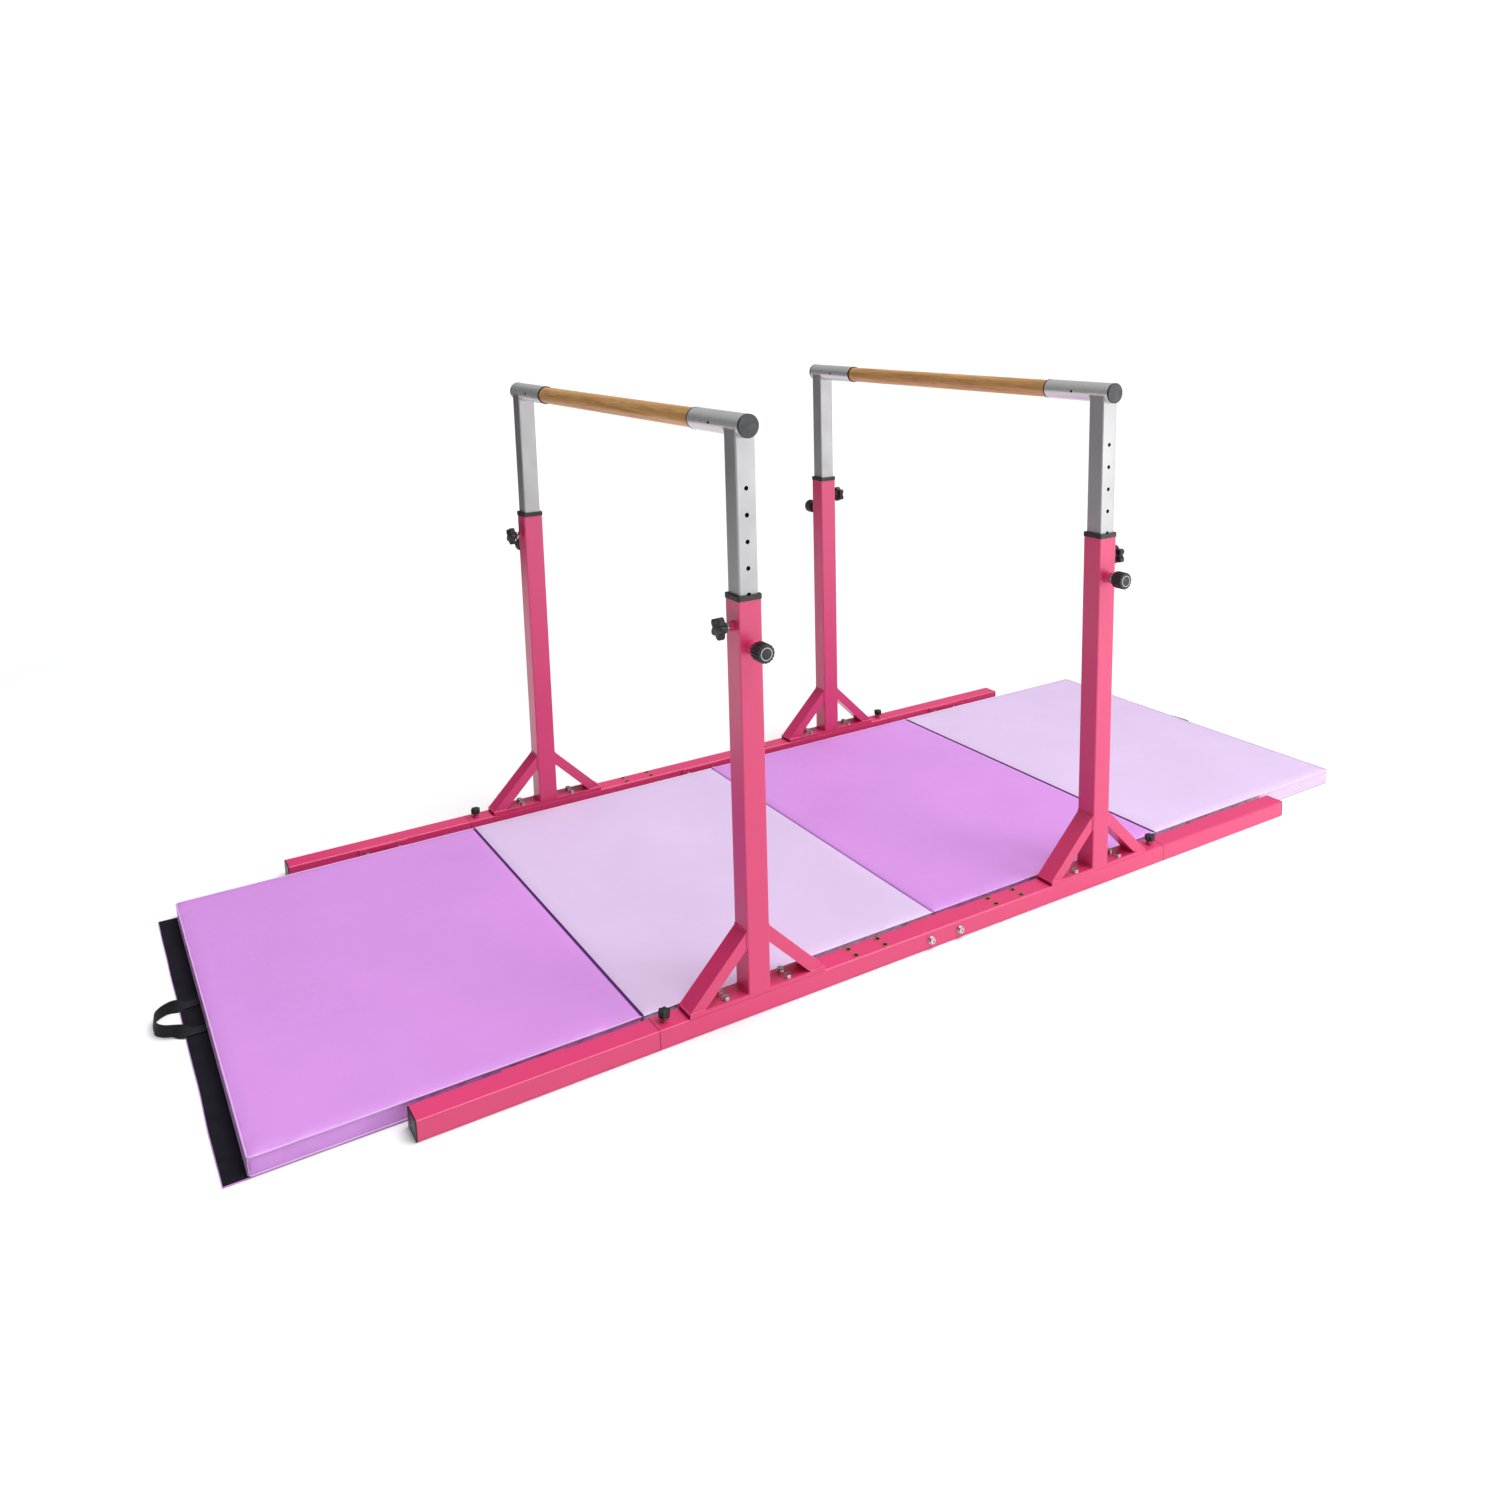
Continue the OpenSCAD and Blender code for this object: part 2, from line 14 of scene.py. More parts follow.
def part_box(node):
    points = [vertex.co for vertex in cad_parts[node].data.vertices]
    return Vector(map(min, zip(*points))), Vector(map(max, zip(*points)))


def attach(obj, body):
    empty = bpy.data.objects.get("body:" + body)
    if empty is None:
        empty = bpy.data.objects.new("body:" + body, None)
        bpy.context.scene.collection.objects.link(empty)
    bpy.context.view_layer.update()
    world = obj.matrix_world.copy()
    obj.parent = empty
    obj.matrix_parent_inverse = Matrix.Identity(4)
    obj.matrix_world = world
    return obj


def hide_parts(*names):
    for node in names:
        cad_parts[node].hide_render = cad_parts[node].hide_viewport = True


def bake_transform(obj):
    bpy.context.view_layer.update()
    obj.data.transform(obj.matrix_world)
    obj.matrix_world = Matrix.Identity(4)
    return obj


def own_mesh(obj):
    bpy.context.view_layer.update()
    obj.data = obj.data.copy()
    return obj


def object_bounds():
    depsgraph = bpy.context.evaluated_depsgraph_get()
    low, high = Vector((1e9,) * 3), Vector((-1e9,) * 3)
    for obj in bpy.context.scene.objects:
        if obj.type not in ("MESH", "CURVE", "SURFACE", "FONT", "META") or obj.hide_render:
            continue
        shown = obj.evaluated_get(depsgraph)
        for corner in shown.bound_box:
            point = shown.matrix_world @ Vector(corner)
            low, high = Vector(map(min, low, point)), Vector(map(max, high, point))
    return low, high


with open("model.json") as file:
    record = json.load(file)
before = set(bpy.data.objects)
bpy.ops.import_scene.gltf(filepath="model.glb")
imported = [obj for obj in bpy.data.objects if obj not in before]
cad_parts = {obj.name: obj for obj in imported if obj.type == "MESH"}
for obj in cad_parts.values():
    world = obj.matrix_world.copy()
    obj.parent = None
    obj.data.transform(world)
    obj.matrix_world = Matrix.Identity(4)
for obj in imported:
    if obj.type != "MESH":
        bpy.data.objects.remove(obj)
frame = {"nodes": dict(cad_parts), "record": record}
nodes = frame["nodes"]
cad_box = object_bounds()
BODY_OF = {n: b for b, ns in frame["record"]["behaviour"]["bodies"].items() for n in ns}
JOINTS = {j["name"]: j for j in frame["record"]["behaviour"]["joints"]}
SIDES = {"left": -1, "right": 1}
ROWS = {"near": -1, "far": 1}
CORNERS = [(a, b) for a in SIDES for b in ROWS]
MM = 0.001


# --- Camera, lights and world ---

CAMERA_PLACE = (-1.5826, -2.4423, 1.3922)
CAMERA_TURN_DEG = (30.9, 9.6, -1.44)  # yaw from +Y toward +X, pitch downward, roll
CAMERA_SENSOR_MM = 36
CAMERA_LENS_MM = 28.99
CAMERA_SHIFT_Y = -0.167
FILL_COLOR = (0.97, 0.98, 1.0, 1)
BACKDROP_COLOR = (1, 1, 1, 1)


def make_camera():
    """The camera that was fitted to the photo's tube corners, holes and seams."""
    yaw, pitch, roll = (math.radians(a) for a in CAMERA_TURN_DEG)
    forward = Vector((math.sin(yaw) * math.cos(pitch),
                      math.cos(yaw) * math.cos(pitch),
                      -math.sin(pitch)))
    right = Vector((math.cos(yaw), -math.sin(yaw), 0))
    up = right.cross(forward)
    right_rolled = math.cos(roll) * right + math.sin(roll) * up
    up_rolled = -math.sin(roll) * right + math.cos(roll) * up
    data = bpy.data.cameras.new("camera")
    data.sensor_width = CAMERA_SENSOR_MM
    data.lens = CAMERA_LENS_MM
    data.shift_y = CAMERA_SHIFT_Y
    cam = bpy.data.objects.new("camera", data)
    turn = Matrix((right_rolled, up_rolled, -forward)).transposed().to_4x4()
    cam.matrix_world = Matrix.Translation(CAMERA_PLACE) @ turn
    bpy.context.collection.objects.link(cam)
    bpy.context.scene.camera = cam


def make_light(name, kind, place, target, energy, **settings):
    data = bpy.data.lights.new(name, kind)
    data.energy = energy
    for key, value in settings.items():
        setattr(data, key, value)
    lamp = bpy.data.objects.new(name, data)
    lamp.location = place
    lamp.rotation_euler = (Vector(target) - Vector(place)).to_track_quat("-Z", "Y").to_euler()
    lamp.visible_camera = False
    bpy.context.collection.objects.link(lamp)


def make_world(fill, backdrop):
    """A white backdrop where the camera looks, and a dimmer sky for the light on the set."""
    world = bpy.data.worlds.new("studio")
    bpy.context.scene.world = world
    world.use_nodes = True
    tree = world.node_tree
    tree.nodes.clear()
    out = tree.nodes.new("ShaderNodeOutputWorld")
    mix = tree.nodes.new("ShaderNodeMixShader")
    path = tree.nodes.new("ShaderNodeLightPath")
    soft = tree.nodes.new("ShaderNodeBackground")
    seen = tree.nodes.new("ShaderNodeBackground")
    soft.inputs["Color"].default_value = FILL_COLOR
    soft.inputs["Strength"].default_value = fill
    seen.inputs["Color"].default_value = BACKDROP_COLOR
    seen.inputs["Strength"].default_value = backdrop
    tree.links.new(path.outputs["Is Camera Ray"], mix.inputs["Fac"])
    tree.links.new(soft.outputs[0], mix.inputs[1])
    tree.links.new(seen.outputs[0], mix.inputs[2])
    tree.links.new(mix.outputs[0], out.inputs["Surface"])


make_camera()
bpy.context.scene.view_settings.view_transform = "Standard"
make_world(fill=0.30, backdrop=1.05)
make_light("overhead", "SUN", place=(0.9, -0.5, 3.0), target=(0, 0, 0),
           energy=3.1, angle=math.radians(50))
make_light("right_softbox", "AREA", place=(1.75, -2.8, 0.9), target=(0.5, -0.5, 0.5),
           energy=34, shape="DISK", size=1.3)


# --- Materials ---

class Shader:
    """A Principled material with short calls for its nodes, in the object's own coordinates (m)."""

    def __init__(self, name, **constants):
        self.material = bpy.data.materials.new(name)
        self.material.use_nodes = True
        self.tree = self.material.node_tree
        self.bsdf = self.tree.nodes["Principled BSDF"]
        self.coords = self.add("ShaderNodeTexCoord").outputs["Object"]
        for key, value in constants.items():
            self.bsdf.inputs[key.replace("_", " ")].default_value = value

    def add(self, kind, **settings):
        node = self.tree.nodes.new(kind)
        for key, value in settings.items():
            setattr(node, key, value)
        return node

    def link(self, source, target):
        self.tree.links.new(source, target)

    def stretched(self, scale):
        mapping = self.add("ShaderNodeMapping")
        mapping.inputs["Scale"].default_value = scale
        self.link(self.coords, mapping.inputs["Vector"])
        return mapping.outputs["Vector"]

    def noise(self, scale, detail=3.0, rough=0.5, coords=None, distortion=0.0):
        node = self.add("ShaderNodeTexNoise")
        node.inputs["Scale"].default_value = scale
        node.inputs["Detail"].default_value = detail
        node.inputs["Roughness"].default_value = rough
        node.inputs["Distortion"].default_value = distortion
        self.link(coords or self.coords, node.inputs["Vector"])
        return node.outputs["Fac"]

    def wave(self, scale, direction, coords=None, distortion=0.0):
        node = self.add("ShaderNodeTexWave", bands_direction=direction)
        node.inputs["Scale"].default_value = scale
        node.inputs["Distortion"].default_value = distortion
        self.link(coords or self.coords, node.inputs["Vector"])
        return node.outputs["Fac"]

    def ramp(self, value, low, high, from_low=0.0, from_high=1.0):
        node = self.add("ShaderNodeMapRange")
        node.inputs["From Min"].default_value = from_low
        node.inputs["From Max"].default_value = from_high
        node.inputs["To Min"].default_value = low
        node.inputs["To Max"].default_value = high
        self.link(value, node.inputs["Value"])
        return node.outputs["Result"]

    def math(self, operation, a, b):
        node = self.add("ShaderNodeMath", operation=operation)
        for socket, value in zip(node.inputs, (a, b)):
            if isinstance(value, (int, float)):
                socket.default_value = value
            else:
                self.link(value, socket)
        return node.outputs[0]

    def mix(self, factor, a, b):
        node = self.add("ShaderNodeMix", data_type="RGBA")
        self.link(factor, node.inputs["Factor"])
        for socket, value in ((node.inputs["A"], a), (node.inputs["B"], b)):
            if isinstance(value, tuple):
                socket.default_value = (*value, 1)
            else:
                self.link(value, socket)
        return node.outputs["Result"]

    def color(self, value):
        self.link(value, self.bsdf.inputs["Base Color"])
        return self

    def roughness(self, value):
        self.link(value, self.bsdf.inputs["Roughness"])
        return self

    def bump(self, height, distance, strength=1.0):
        node = self.add("ShaderNodeBump")
        node.inputs["Strength"].default_value = strength
        node.inputs["Distance"].default_value = distance
        self.link(height, node.inputs["Height"])
        previous = self.bsdf.inputs["Normal"]
        if previous.is_linked:
            self.link(previous.links[0].from_socket, node.inputs["Normal"])
        self.link(node.outputs["Normal"], previous)
        return self


def tint(rgb, k):
    return tuple(min(1.0, c * k) for c in rgb)


def powder_coat(name, rgb):
    rough = 0.32
    s = Shader(name, Coat_Weight=0.25, Coat_Roughness=0.2, Specular_IOR_Level=0.5)
    s.color(s.mix(s.noise(5, 3), tint(rgb, 0.96), tint(rgb, 1.04)))
    s.roughness(s.ramp(s.noise(9, 3), rough - 0.03, rough + 0.05, 0.3, 0.7))
    s.bump(s.noise(600, 1), 0.05 * MM)
    return s.material


def silver_coat(name):
    s = Shader(name, Metallic=0.7, Coat_Weight=0.05, Coat_Roughness=0.4)
    s.color(s.mix(s.noise(900, 2), *SILVER))
    s.roughness(s.ramp(s.noise(14, 5), 0.40, 0.50, 0.3, 0.7))
    s.bump(s.noise(500, 2), 0.1 * MM)
    return s.material


def brushed(name):
    s = Shader(name, Metallic=0.6, Anisotropic=0.3)
    streaks = s.noise(60, 4, coords=s.stretched((1, 22, 1)))
    s.color(s.mix(streaks, *BRUSHED_STEEL))
    s.roughness(s.ramp(streaks, 0.26, 0.44, 0.3, 0.7))
    s.bump(streaks, 0.06 * MM)
    return s.material


def plated(name, rgb):
    s = Shader(name, Metallic=1.0)
    s.color(s.mix(s.noise(160, 5), tint(rgb, 0.78), tint(rgb, 1.15)))
    s.roughness(s.ramp(s.noise(220, 4), 0.18, 0.42, 0.3, 0.7))
    s.bump(s.noise(900, 2), 0.08 * MM)
    return s.material


def moulded(name, rgb):
    rough = 0.45
    s = Shader(name, Specular_IOR_Level=0.5)
    s.color(s.mix(s.noise(45, 4), tint(rgb, 0.8), tint(rgb, 1.5)))
    s.roughness(s.ramp(s.noise(60, 4), rough - 0.08, rough + 0.1, 0.3, 0.7))
    s.bump(s.noise(1100, 3, 0.7), 0.15 * MM)
    return s.material


def beech(name):
    s = Shader(name, Coat_Weight=0.08, Coat_Roughness=0.35, Specular_IOR_Level=0.35)
    along = s.stretched((1, 0.045, 1))
    warp = s.noise(28, 3, coords=along)
    growth = s.noise(115, 6, 0.62, coords=along, distortion=0.6)
    pores = s.noise(900, 2, coords=s.stretched((1, 0.02, 1)))
    staves = s.mix(warp, *BEECH_STAVES)
    grain = s.mix(s.ramp(growth, 0, 1, 0.35, 0.68), staves, BEECH_GRAIN)
    s.color(s.mix(s.ramp(pores, 0, 0.7, 0.54, 0.68), grain, BEECH_PORES))
    s.roughness(s.ramp(growth, 0.36, 0.52, 0.3, 0.7))
    s.bump(growth, 0.1 * MM).bump(pores, 0.06 * MM)
    return s.material


def vinyl(name, rgb):
    s = Shader(name, Coat_Weight=0.06, Coat_Roughness=0.35, Specular_IOR_Level=0.4)
    warp, weft = (s.wave(105, direction, distortion=0.4) for direction in "XY")
    cloth = s.math("MULTIPLY", warp, weft)
    mottle = s.noise(3.2, 5, 0.6)
    s.color(s.mix(s.ramp(mottle, 0.0, 1.0, 0.3, 0.7), tint(rgb, 0.955), tint(rgb, 1.03)))
    s.roughness(s.ramp(s.noise(70, 5), 0.36, 0.50, 0.3, 0.7))
    s.bump(s.noise(9, 3), 1.2 * MM, 0.35)
    s.bump(cloth, 0.08 * MM)
    s.bump(s.noise(650, 3, 0.6), 0.1 * MM)
    return s.material


def woven(name, rgb, pitch_scale):
    s = Shader(name, Sheen_Weight=0.05, Sheen_Roughness=0.5, Roughness=0.85,
               Specular_IOR_Level=0.2)
    rib = s.math("MAXIMUM", s.wave(pitch_scale, "Y"), s.wave(pitch_scale, "Z"))
    s.color(s.mix(s.math("MULTIPLY", rib, s.noise(240, 4)), tint(rgb, 0.6), tint(rgb, 2.6)))
    s.bump(rib, 0.4 * MM, 0.8).bump(s.noise(1400, 3), 0.3 * MM, 0.5)
    return s.material


def hook_tape(name):
    s = Shader(name, Sheen_Weight=0.04, Sheen_Roughness=0.4, Roughness=0.9,
               Specular_IOR_Level=0.15)
    fuzz = s.noise(700, 4, 0.8)
    s.color(s.mix(s.math("MULTIPLY", fuzz, s.noise(30, 4)), *HOOK_BLACK))
    s.bump(fuzz, 0.8 * MM, 0.9)
    return s.material


def printed(name, rgb):
    s = Shader(name, Roughness=0.5)
    s.color(s.mix(s.noise(300, 3), tint(rgb, 0.85), rgb))
    return s.material


SILVER = ((0.34, 0.34, 0.345), (0.43, 0.43, 0.435))
BRUSHED_STEEL = ((0.60, 0.60, 0.60), (0.80, 0.80, 0.795))
BEECH_STAVES = ((0.60, 0.32, 0.108), (0.80, 0.46, 0.180))
BEECH_GRAIN = (0.47, 0.225, 0.070)
BEECH_PORES = (0.22, 0.11, 0.045)
HOOK_BLACK = ((0.003, 0.003, 0.005), (0.024, 0.020, 0.034))
WEBBING_BLACK = (0.010, 0.010, 0.012)
WEBBING_RIBS = 130
PINK = (0.67, 0.038, 0.155)
PURPLE = (0.61, 0.265, 0.70)
LAVENDER = (0.655, 0.505, 0.745)
MATERIALS = {
    "pink_paint": powder_coat("pink_powder_coat", PINK),
    "silver_paint": silver_coat("silver_powder_coat"),
    "zinc_plate": plated("zinc_plate", (0.60, 0.60, 0.61)),
    "yellow_zinc": plated("yellow_zinc", (0.66, 0.47, 0.16)),
    "black_plastic": moulded("black_moulded_plastic", (0.008, 0.008, 0.009)),
    "grey_cap": moulded("grey_moulded_plastic", (0.026, 0.027, 0.029)),
    "beech": beech("beech"),
    "mat_purple": vinyl("purple_vinyl", PURPLE),
    "mat_lavender": vinyl("lavender_vinyl", LAVENDER),
    "hook_tape": hook_tape("black_hook_tape"),
    "webbing": woven("black_webbing", WEBBING_BLACK, WEBBING_RIBS),
}
BRUSHED = brushed("brushed_sleeve")
PRINT = printed("pale_print", (0.62, 0.64, 0.66))
SLOT_OF = {s["node"]: s["material_slot"] for s in frame["record"]["subparts"]}
# The piping's vinyl is lighter than the cover's: a painted highlight along the sewn edges.
PIPING_HIGHLIGHT = {"mat_purple": vinyl("purple_piping_painted_highlight", (0.68, 0.42, 0.74)),
          "mat_lavender": vinyl("lavender_piping_painted_highlight", (0.72, 0.62, 0.78))}
# Very dark purple for the fold webs: painted shade in the crease between the panels.
FOLD_WEB_SHADE = vinyl("fold_web_painted_shade", (0.13, 0.03, 0.19))


def dress_cad_nodes():
    for name, obj in nodes.items():
        material = BRUSHED if name.startswith("bar_sleeves") else MATERIALS[SLOT_OF[name]]
        obj.data.materials.clear()
        obj.data.materials.append(material)


dress_cad_nodes()


# --- Mesh helpers ---

MERGE = 1e-6
FLAT_DEG = 1
SHARP_DEG = 30
STUD, PRINTED = 1, 2  # a knob's second and third materials
STUD_R = 4 * MM
THREAD_PITCH = 1.25 * MM
THREAD_DEPTH = 0.45 * MM
THREAD_TIP = 0.8 * MM
TUBE_SIDES = 8


def piece(name, bm, body, materials, smooth_angle=40, replaces=()):
    bmesh.ops.recalc_face_normals(bm, faces=bm.faces)
    mesh = bpy.data.meshes.new(name)
    bm.to_mesh(mesh)
    bm.free()
    for material in materials:
        mesh.materials.append(material)
    obj = bpy.data.objects.new(name, mesh)
    bpy.context.collection.objects.link(obj)
    mesh.shade_smooth()
    mesh.set_sharp_from_angle(angle=math.radians(smooth_angle))
    if body:
        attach(obj, body)
    if replaces:
        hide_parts(*replaces)
    return obj


def softened(node, width):
    """A copy of a rigid CAD node whose sharp edges are rounded, standing for the node."""
    bm = bmesh.new()
    bm.from_mesh(nodes[node].data)
    bmesh.ops.remove_doubles(bm, verts=bm.verts, dist=MERGE)
    bmesh.ops.dissolve_limit(bm, angle_limit=math.radians(FLAT_DEG), verts=bm.verts, edges=bm.edges)
    sharp = [e for e in bm.edges
             if len(e.link_faces) == 2 and e.calc_face_angle(0) > math.radians(SHARP_DEG)]
    bmesh.ops.bevel(bm, geom=sharp, offset=width, segments=2, profile=0.5,
                    affect="EDGES", clamp_overlap=True)
    bmesh.ops.triangulate(bm, faces=[f for f in bm.faces if len(f.verts) > 4])
    obj = piece(f"soft_{node}", bm, BODY_OF[node],
                [nodes[node].data.materials[0]], replaces=[node])
    obj.modifiers.new("flat_faces", "WEIGHTED_NORMAL").keep_sharp = True


def place(bm, origin, axis):
    """Moves a mesh built along +Z so that it stands at origin along axis."""
    turn = Vector(axis).to_track_quat("Z", "Y").to_matrix().to_4x4()
    bmesh.ops.transform(bm, matrix=Matrix.Translation(origin) @ turn, verts=bm.verts)


def skin(bm, rings):
    """Makes faces between closed rings of equally many vertices, and a cap on each end."""
    faces = []
    for low, high in zip(rings, rings[1:]):
        for k in range(len(low)):
            m = (k + 1) % len(low)
            faces.append(bm.faces.new((low[k], low[m], high[m], high[k])))
    faces.append(bm.faces.new(list(reversed(rings[0]))))
    faces.append(bm.faces.new(rings[-1]))
    return faces


def polar_loft(bm, rings, outline, count=96, material=0):
    """Skins rings of (height, inset) round +Z, both ends closed. outline(angle) is the radius."""
    loops = []
    for z, inset in rings:
        loop = []
        for i in range(count):
            a = 2 * math.pi * i / count
            r = max(outline(a) - inset, 1e-4)
            loop.append(bm.verts.new((r * math.cos(a), r * math.sin(a), z)))
        loops.append(loop)
    for f in skin(bm, loops):
        f.material_index = material


def fillet(z0, z1, r, steps=5):
    """Rings of (height, inset) for a body from z0 to z1 with both rims rounded."""
    turns = [math.pi / 2 * i / steps for i in range(steps + 1)]
    low = [(z0 + r * (1 - math.sin(t)), r * (1 - math.cos(t))) for t in reversed(turns)]
    high = [(z1 - r * (1 - math.sin(t)), r * (1 - math.cos(t))) for t in turns]
    return low + high


def threaded(bm, z0, z1):
    """A stud's thread from z0 to z1, as plain ridges with no helix."""
    rings = [(z0, THREAD_TIP)]
    z = z0 + THREAD_TIP
    while z < z1:
        rings.append((z, 0.0))
        rings.append((z + THREAD_PITCH / 2, THREAD_DEPTH))
        z += THREAD_PITCH
    rings.append((z1, THREAD_DEPTH))
    polar_loft(bm, rings, lambda a: STUD_R, 32, STUD)


def tube(bm, points, radius, wobble=0.0):
    """Sweeps a round rod along points, capped at its ends. wobble is its share of unevenness."""
    last = len(points) - 1
    rings = []
    for i, p in enumerate(points):
        before = points[i - 1] if i else p
        after = points[i + 1] if i < last else p
        along = (after - before).normalized()
        side = along.cross(Vector((0, 0, 1)))
        if side.length <= 0.05:
            side = along.cross(Vector((0, 1, 0)))
        side = side.normalized()
        top = side.cross(along).normalized()
        r = radius * (1 + wobble * noise.noise(p * 90))
        rings.append([bm.verts.new(p + r * (math.cos(t) * side + math.sin(t) * top))
                      for t in (2 * math.pi * k / TUBE_SIDES for k in range(TUBE_SIDES))])
    skin(bm, rings)


def between(a, b, step):
    """Values from a to b, no more than step apart, without b."""
    count = max(1, round(abs(b - a) / step))
    return [a + (b - a) * i / count for i in range(count)]


# --- Knobs ---

KNOB_MATERIALS = [MATERIALS["black_plastic"], MATERIALS["zinc_plate"]]
KNOB_SMOOTH = 35
STAR_R, STAR_HEAD = 22.5 * MM, 14 * MM
LOCK_R, LOCK_HEAD = 12 * MM, 14 * MM
PULL_R, PULL_HEAD = 19 * MM, 28 * MM
FLUTES, FLUTE_DEPTH = 16, 1.5 * MM
RING_OUTER, RING_INNER = 12.4 * MM, 11.0 * MM


def star_outline(radius, lobes, depth):
    """The radius, by angle, of a knob with rounded lobes."""
    def outline(a):
        swell = 0.5 + 0.5 * math.cos(lobes * a)
        return radius * (1 - depth) + radius * depth * swell ** 0.75
    return outline


def clamp_knob(a, b):
    node = f"clamp_knob_{a}_{b}"
    joint = JOINTS[f"{node}_turn"]
    low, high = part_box(node)
    axis = Vector(joint["axis"])
    pos = Vector(joint["pos_m"])
    tip, front = sorted(abs(v) for v in (low.x, high.x))
    length = front - tip
    neck = length - STAR_HEAD
    bm = bmesh.new()
    outline = star_outline(STAR_R, lobes=5, depth=0.34)
    polar_loft(bm, fillet(neck, length, 2.6 * MM), outline, 120)
    rim = [(length - 0.4 * MM, 0.0), (length + 0.5 * MM, 0.3 * MM), (length + 0.7 * MM, 1.2 * MM)]
    polar_loft(bm, rim, lambda t: 9 * MM, 64)
    hub = [(neck - 7 * MM, 1.5 * MM), (neck - 6 * MM, 0.2 * MM), (neck + 1 * MM, 0.0)]
    polar_loft(bm, hub, lambda t: 10.5 * MM, 64)
    threaded(bm, 0, neck - 6.5 * MM)
    place(bm, (axis.x * tip, pos.y, pos.z), axis)
    piece(f"star_knob_{a}_{b}", bm, node, KNOB_MATERIALS, KNOB_SMOOTH, [node])


def rail_knob(a, b):
    node = f"rail_knob_{a}_{b}"
    pos = Vector(JOINTS[f"{node}_turn"]["pos_m"])
    low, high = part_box(node)
    length = high.z - low.z
    neck = length - LOCK_HEAD
    bm = bmesh.new()
    outline = star_outline(LOCK_R, lobes=6, depth=0.2)
    polar_loft(bm, fillet(neck, length - 0.4 * MM, 1.8 * MM), outline, 96)
    button = [(length - 1 * MM, 0), (length - 0.3 * MM, 0), (length, 0.5 * MM)]
    polar_loft(bm, button, lambda t: 6 * MM, 48)
    collar = [(neck - 1 * MM, 0.6 * MM), (neck + 0.5 * MM, 0)]
    polar_loft(bm, collar, lambda t: 5.5 * MM, 48)
    threaded(bm, 0, neck - 0.8 * MM)
    place(bm, (pos.x, pos.y, low.z), (0, 0, 1))
    piece(f"lock_knob_{a}_{b}", bm, node, KNOB_MATERIALS, KNOB_SMOOTH, [node])


def pull_pin(a, b):
    node = f"pull_pin_{a}_{b}"
    low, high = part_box(node)
    sy = ROWS[b]
    centre = (low + high) / 2
    tip, front = sorted(abs(v) for v in (low.y, high.y))
    length = front - tip
    start = length - PULL_HEAD
    bm = bmesh.new()

    def outline(t):
        return PULL_R - FLUTE_DEPTH * (0.5 - 0.5 * math.cos(FLUTES * t)) ** 2

    polar_loft(bm, fillet(start, length - 0.6 * MM, 2.2 * MM), outline, FLUTES * 12)
    disc = [(length - 1.2 * MM, 0), (length - 0.2 * MM, 0), (length, 0.6 * MM)]
    polar_loft(bm, disc, lambda t: 14.5 * MM, 96)
    for radius in (RING_OUTER, RING_INNER):
        circle = bmesh.ops.create_circle(bm, cap_ends=False, segments=96, radius=radius)
        for v in circle["verts"]:
            v.co.z = length + 0.05 * MM
    edges = [e for e in bm.edges if e.is_wire]
    for f in bmesh.ops.bridge_loops(bm, edges=edges)["faces"]:
        f.material_index = PRINTED
    collar = [(start - 2.5 * MM, 0.8 * MM), (start - 1.8 * MM, 0), (start + 1 * MM, 0)]
    polar_loft(bm, collar, lambda t: 11 * MM, 64)
    polar_loft(bm, [(0, 1 * MM), (1 * MM, 0), (start, 0)], lambda t: STUD_R, 32, STUD)
    polar_loft(bm, fillet(5.7 * MM, 8.7 * MM, 0.5 * MM, 2), lambda t: 6.2 * MM, 48, STUD)
    place(bm, (centre.x, sy * tip, centre.z), (0, sy, 0))
    piece(f"pull_knob_{a}_{b}", bm, node, [*KNOB_MATERIALS, PRINT],
          KNOB_SMOOTH, [node])


for a, b in CORNERS:
    clamp_knob(a, b)
    rail_knob(a, b)
    pull_pin(a, b)


# --- Rounded edges on the steel and the plastic trim ---

for a, b in CORNERS:
    softened(f"post_base_{a}_{b}", 0.8 * MM)
    softened(f"extension_{a}_{b}", 1.2 * MM)
for b in ROWS:
    softened(f"main_rail_{b}", 1.2 * MM)
for a in SIDES:
    softened(f"end_cross_beam_{a}", 0.8 * MM)
    softened(f"rail_caps_{a}", 0.6 * MM)
    softened(f"bar_caps_{a}", 1.2 * MM)
    softened(f"end_bolts_{a}", 0.4 * MM)
for node in ("center_cross_beam", "frame_bolts", "knob_bosses"):
    softened(node, 0.5 * MM)
softened("post_collars", 1.2 * MM)




def pin_spring(a, b):
    """One corner's spring, cut from the node that holds all four."""
    sx, sy = SIDES[a], ROWS[b]
    bm = bmesh.new()
    bm.from_mesh(nodes["pin_springs"].data)
    others = [v for v in bm.verts if v.co.x * sx < 0 or v.co.y * sy < 0]
    bmesh.ops.delete(bm, geom=others, context="VERTS")
    bmesh.ops.remove_doubles(bm, verts=bm.verts, dist=MERGE)
    obj = piece(f"pin_spring_{a}_{b}", bm, "floor_frame",
                [MATERIALS["zinc_plate"]], replaces=["pin_springs"])
    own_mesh(obj)


for a, b in CORNERS:
    pin_spring(a, b)


RAIL_H = 40 * MM
BAND_PROUD = 0.2 * MM
BAND_HALF = 0.6 * MM
BAND_SINK = 0.97
BAND_CORNER_R = 3 * MM
BAND_CORNER_STEPS = 5


